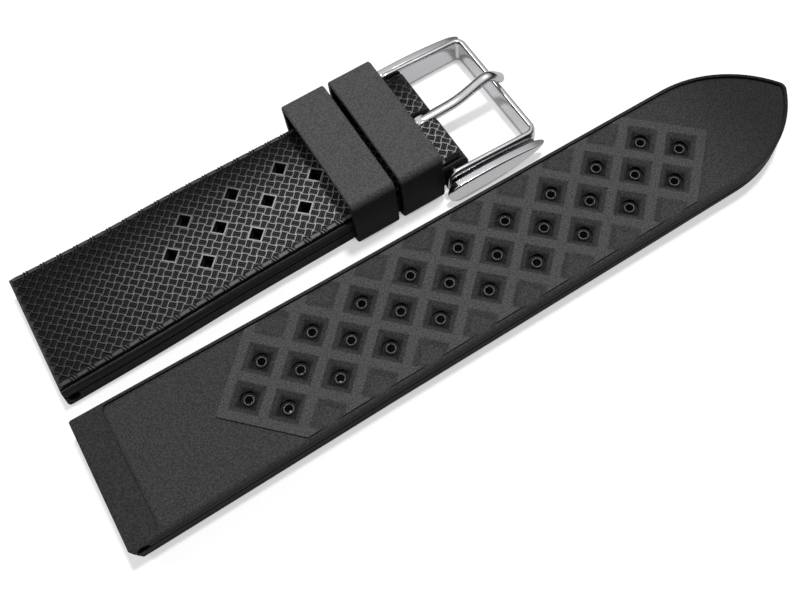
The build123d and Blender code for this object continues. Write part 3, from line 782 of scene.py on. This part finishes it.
def rubber(name, colours, roughness, bump_depth, shade_steps):
    """Satin rubber: the grain mixes two tones and lifts the surface, and slow patches
    change the gloss a little. Shade is painted by height: the steps are heights in
    millimetres, each with how far the tone has grown there from the dark painted-shade
    colour to the grain's two tones. Towards the tail the tone is painted darker again,
    as shade."""
    material, tree, shader = new_material(name)
    shade_colour, plain, pale = colours
    place = add_node(tree, "ShaderNodeTexCoord").outputs["Object"]
    axes = add_node(tree, "ShaderNodeSeparateXYZ", links={"Vector": place}).outputs
    grain = noise(tree, place, grain_size)
    ramp = add_node(tree, "ShaderNodeValToRGB",
                    links={"Fac": spread(tree, axes["Z"], (0.0, highest_step * MM))})
    while len(ramp.color_ramp.elements) < len(shade_steps):
        ramp.color_ramp.elements.new(1.0)
    for element, (step, share) in zip(ramp.color_ramp.elements, shade_steps):
        element.position, element.color = step / highest_step, (share, share, share, 1.0)
    tail_shade = spread(tree, smooth_share(tree, axes["X"], *tail_shade_span), result=(1.0, tail_shade_share))
    painted_shade = product(tree, ramp.outputs["Color"], tail_shade)
    tone = blended(tree, spread(tree, grain, grain_middle), plain, pale)
    gloss = spread(tree, noise(tree, place, patch_size), noise_middle,
                   (roughness - gloss_swing, roughness + gloss_swing))
    bump = add_node(tree, "ShaderNodeBump", links={"Height": grain},
                    inputs={"Strength": grain_strength, "Distance": bump_depth * MM})
    tree.links.new(bump.outputs["Normal"], shader.inputs["Normal"])
    finish_rubber(tree, shader, blended(tree, painted_shade, shade_colour, tone), gloss, rubber_sheen)
    return material


# On the tip half the wells' floors lie at 4.0, the cells' at 4.35, the recess at 4.9, the
# panel's ridges at 5.25 and the rim at 5.4 mm.
# Painted shade by height: the tone is dark low on the sides and in the wells and cells, and pale on the
# ridges.
strap_shade_steps = [(0, 0.35), (3.9, 0.35), (4.1, 0.0), (4.32, 0.05), (4.36, 0.22), (4.6, 0.2),
               (4.88, 0.65), (5.15, 0.65), (5.22, 1.0), (5.3, 1.0), (5.38, 0.46), (5.6, 0.46)]
# Painted shade on the keepers: their sides are dark and their tops pale.
keeper_shade_steps = [(0, 0.1), (9.6, 0.15), (11.4, 1.0)]
rim_steps_of_tone = [(0, 1.0), (5, 1.0)]
strap_rubber = rubber("strap_rubber_painted_shade", ("#060607", "#323233", "#525253"),
                      roughness=0.5, bump_depth=0.05, shade_steps=strap_shade_steps)
keeper_rubber = rubber("keeper_rubber_painted_shade", ("#0c0c0d", "#39393a", "#555556"),
                       roughness=0.5, bump_depth=0.05, shade_steps=keeper_shade_steps)
# The eyelet rims are painted paler, as a highlight on them.
rim_highlight_rubber = rubber("rim_rubber_painted_highlight", ("#262627", "#3e3e3f", "#6a6a6b"),
                    roughness=0.3, bump_depth=0.02, shade_steps=rim_steps_of_tone)

# %% [markdown]
# The relief is the same rubber. Its grooves are painted nearly black, as shade, and its
# crowns are paler and smoother, as wear; a painted sheen lightens them more in places.
# The finish reads the level that each point of the relief kept.

# %% Relief rubber with painted shade and sheen
least_speckle, groove_roughness, crown_roughness = 0.55, 0.62, 0.45


def relief_rubber(name, groove_shade_colour, crown_colour, along, across, least):
    """The groove tone, a painted shade, and the crown tone mixed by the level squared, with a
    speckle. A painted sheen grows from its least share to all of it between two places
    along the strap and two across, in millimetres."""
    material, tree, shader = new_material(name)
    place = add_node(tree, "ShaderNodeTexCoord").outputs["Object"]
    axes = add_node(tree, "ShaderNodeSeparateXYZ", links={"Vector": place}).outputs
    level = add_node(tree, "ShaderNodeAttribute", {"attribute_name": "relief"}).outputs["Fac"]
    sheen_share = product(tree, smooth_share(tree, axes["X"], *along),
                     smooth_share(tree, axes["Y"], *across))
    painted_sheen = spread(tree, sheen_share, result=(least, 1.0))
    speckle = spread(tree, noise(tree, place, grain_size), noise_middle, (least_speckle, 1.0))
    share = product(tree, product(tree, level, level), product(tree, painted_sheen, speckle))
    gloss = spread(tree, level, result=(groove_roughness, crown_roughness))
    colour = blended(tree, share, groove_shade_colour, crown_colour)
    finish_rubber(tree, shader, colour, gloss, relief_sheen)
    return material


# Painted sheen: where these spans grow, towards the keepers and the near side, the crowns are painted
# paler. With a least share of 1, as on the tip's weave, none is painted.
sheen_along_buckle = (buckle_start - 6.0, buckle_start + 46.0)
sheen_across_buckle = (buckle_box[1, 1] - 1.0, buckle_middle - 3.0)
along_tip = across_tip = (tip_start - 2.0, tip_start - 1.0)
woven_rubber = relief_rubber("weave_rubber_painted_shade_and_sheen", "#030304", "#a6a6a8",
                             sheen_along_buckle, sheen_across_buckle, least=0.05)
under_rubber = relief_rubber("under_weave_rubber_painted_shade", "#040405", "#4c4c4e",
                             along_tip, across_tip, least=1.0)
stitch_rubber = relief_rubber("stitch_rubber_painted_shade_and_sheen", "#040405", "#707072",
                              sheen_along_buckle, sheen_across_buckle, least=0.4)

# %% [markdown]
# ## The buckle's steel
# The frame and tongue are stainless steel, ground, tumbled and polished. Polished steel
# shows hardly any colour of its own: it mirrors the room, with fine hairlines from the
# wheel. The bar inside is turned, and its ring marks make it duller. The webs between
# rail and cheek are painted dark grey, as shade in the gap between them.

# %% Polished and turned steel
hairline_size, hairline_detail, cloud_size, hairline_strength = 0.25, 4.0, 3.0, 0.2
dull_share, keen_share = 0.7, 1.3


def steel(name, colour, roughness, stretch, depth):
    """Steel with hairlines: a noise stretched along the strap or across it by a factor
    for each axis, its depth in millimetres. Slow clouds of handling change the gloss."""
    material, tree, shader = new_material(name)
    place = add_node(tree, "ShaderNodeTexCoord").outputs["Object"]
    drawn_out = add_node(tree, "ShaderNodeMapping", inputs={"Scale": stretch}, links={"Vector": place})
    lines = noise(tree, drawn_out.outputs["Vector"], hairline_size, hairline_detail)
    gloss = spread(tree, noise(tree, place, cloud_size), noise_middle,
                   (roughness * dull_share, roughness * keen_share))
    bump = add_node(tree, "ShaderNodeBump", links={"Height": lines},
                    inputs={"Strength": hairline_strength, "Distance": depth * MM})
    shader.inputs["Base Color"].default_value = linear(colour)
    shader.inputs["Metallic"].default_value = 1.0
    tree.links.new(gloss, shader.inputs["Roughness"])
    tree.links.new(bump.outputs["Normal"], shader.inputs["Normal"])
    return material


along_strap, across_strap, unstretched = (0.12, 1.0, 1.0), (1.0, 0.1, 1.0), (1.0, 1.0, 1.0)
buckle_steel = steel("polished_buckle_steel", "#d0d0d2", 0.17, along_strap, depth=0.004)
# The webs are painted dark grey, as shade in the gap between rail and cheek.
web_shade_steel = steel("web_steel_painted_shade", "#4a4a4c", 0.55, unstretched, depth=0.02)
bar_steel = steel("turned_bar_steel", "#b4b4b6", 0.32, across_strap, depth=0.02)
spring_steel = steel("drawn_spring_wire", "#9a9a9c", 0.35, unstretched, depth=0.01)

# %% [markdown]
# Every solid gets its finish by its node's name, and the added pieces get theirs.

# %% Put the finishes on the solids
finishes = {
    "buckle_half": strap_rubber, "tip_half": strap_rubber,
    "keeper_free": keeper_rubber, "keeper_buckle_side": keeper_rubber,
    "buckle_frame": buckle_steel, "buckle_tongue": buckle_steel,
    "spring_bar_tube": bar_steel, "spring_bar_plunger_near": bar_steel,
    "spring_bar_plunger_far": bar_steel, "spring_bar_coil": spring_steel,
}
for node, finish in finishes.items():
    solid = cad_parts[node]
    solid.data.materials.clear()
    solid.data.materials.append(finish)
buckle_weave.data.materials.append(woven_rubber)
tip_weave.data.materials.append(under_rubber)
tip_rims.data.materials.append(rim_highlight_rubber)
web_piece.data.materials.append(web_shade_steel)
for piece in (frame_piece, tongue_piece):
    piece.data.materials.append(buckle_steel)
for piece in (buckle_stitches, tip_stitches):
    piece.data.materials.append(stitch_rubber)
print("finishes:", len(finishes))

# %% [markdown]
# ## Floor, light and camera
# The strap was photographed on white, under one soft light almost straight above and a
# wider one behind it on the left, in a room whose walls are darker than its ceiling. The
# floor is a pale matt sheet that catches the shadows. The camera and the steel see a
# little added white on it, the steel less of it, so that it is white where no shadow
# falls and no more light reaches the strap. Deep in a hole, where no light would come,
# that white fades out.

# %% Floor
floor_colour, floor_glow = "#b4b4b4", 0.58
hole_reach, mirrored_share, hole_samples, hole_fade = 2.0, 0.38, 8, (0.1, 0.4)
floor_half_side = 3000.0


def pale_floor():
    """A matt pale sheet. Its own light is only for the camera, and less for reflections."""
    material, tree, shader = new_material("pale_matt_sheet")
    tree.nodes.remove(shader)
    out = next(n for n in tree.nodes if n.type == "OUTPUT_MATERIAL")
    rays = add_node(tree, "ShaderNodeLightPath").outputs
    mirrored = maths(tree, "MAXIMUM", rays["Is Glossy Ray"], rays["Is Transmission Ray"])
    seen = maths(tree, "MAXIMUM", product(tree, mirrored, mirrored_share), rays["Is Camera Ray"])
    openness = add_node(tree, "ShaderNodeAmbientOcclusion", {"samples": hole_samples},
                        inputs={"Distance": hole_reach * MM}).outputs["AO"]
    share = product(tree, seen, spread(tree, openness, hole_fade, curve="SMOOTHSTEP"))
    matt = add_node(tree, "ShaderNodeBsdfDiffuse", inputs={"Color": linear(floor_colour)})
    glow = add_node(tree, "ShaderNodeEmission", links={"Strength": product(tree, share, floor_glow)})
    both = add_node(tree, "ShaderNodeAddShader",
                    links={0: matt.outputs["BSDF"], 1: glow.outputs["Emission"]})
    tree.links.new(both.outputs["Shader"], out.inputs["Surface"])
    return material


floor_level = -max(stitch_height, relief_height + face_gap)
corner = np.array([(-1, -1), (1, -1), (1, 1), (-1, 1)]) * floor_half_side
floor = mesh_from_arrays("floor", np.column_stack([corner, np.full(4, floor_level)]), [(0, 1, 2, 3)])
floor.data.materials.append(pale_floor())

# %% [markdown]
# The room is dark at the horizon and pale overhead. Matt surfaces gather little light
# from it, and polished steel shows its ceiling brighter, as a near soft box would be.

# %% The room: dark at the horizon, pale overhead
matt_levels, mirror_levels, ceiling_start = (0.02, 0.24), (0.02, 1.0), 0.25
world = bpy.data.worlds.new("studio")
bpy.context.scene.world = world
world.use_nodes = True
room_tree = world.node_tree
background = next(n for n in room_tree.nodes if n.type == "BACKGROUND")
background.inputs["Color"].default_value = (1, 1, 1, 1)
direction = add_node(room_tree, "ShaderNodeTexCoord").outputs["Generated"]
height = add_node(room_tree, "ShaderNodeSeparateXYZ", links={"Vector": direction}).outputs["Z"]
matt_room = spread(room_tree, height, result=matt_levels)
mirror_room = spread(room_tree, height, (ceiling_start, 1.0), mirror_levels, "SMOOTHSTEP")
in_mirror = add_node(room_tree, "ShaderNodeLightPath").outputs["Is Glossy Ray"]
room = add_node(room_tree, "ShaderNodeMix", {"data_type": "FLOAT"}, links={"Factor": in_mirror})
room_tree.links.new(matt_room, room.inputs["A"])
room_tree.links.new(mirror_room, room.inputs["B"])
room_tree.links.new(room.outputs["Result"], background.inputs["Strength"])
print("room levels:", matt_levels, mirror_levels)


# %% [markdown]
# The small key light stands almost overhead, as the shadows in the buckle's window tell.
# The wide one behind on the left lifts the rubber's far edges. Both look at the origin.

# %% Light
def area_light(name, place, size, power):
    """A square soft light at a place, turned to look at the origin. The place and the
    size are in metres, the power in watts."""
    data = bpy.data.lights.new(name, "AREA")
    data.shape, data.size, data.energy = "SQUARE", size, power
    lamp = bpy.data.objects.new(name, data)
    bpy.context.scene.collection.objects.link(lamp)
    lamp.location = place
    lamp.rotation_euler = (-Vector(place)).to_track_quat("-Z", "Y").to_euler()
    print(name, power, "W")


area_light("soft_key_overhead", (0.09, 0.04, 0.48), size=0.05, power=2.05)
area_light("wide_light_behind_left", (-0.3, 0.26, 0.34), size=0.18, power=0.6)

# %% [markdown]
# The camera stands where the photograph was taken from. Its place and its three axes
# were fitted to the photograph's outlines and holes. It is 13 cm above the strap.

# %% Camera
camera_place, film_width, focal_length, near_clip = (-32.56, -67.51, 130.08), 36.0, 41.49, 0.01
right, down, forward = np.array([[0.8535, -0.5159, -0.0735], [-0.4963, -0.7616, -0.4167],
                                 [0.159, 0.3921, -0.9061]])
camera_data = bpy.data.cameras.new("camera")
camera_data.sensor_width, camera_data.lens, camera_data.clip_start = film_width, focal_length, near_clip
camera = bpy.data.objects.new("camera", camera_data)
bpy.context.scene.collection.objects.link(camera)
axes = Matrix([[right[i], -down[i], -forward[i]] for i in range(3)])
camera.matrix_world = Matrix.Translation(Vector(camera_place) * MM) @ axes.to_4x4()
bpy.context.scene.camera = camera
bpy.context.scene.view_settings.view_transform = "Standard"
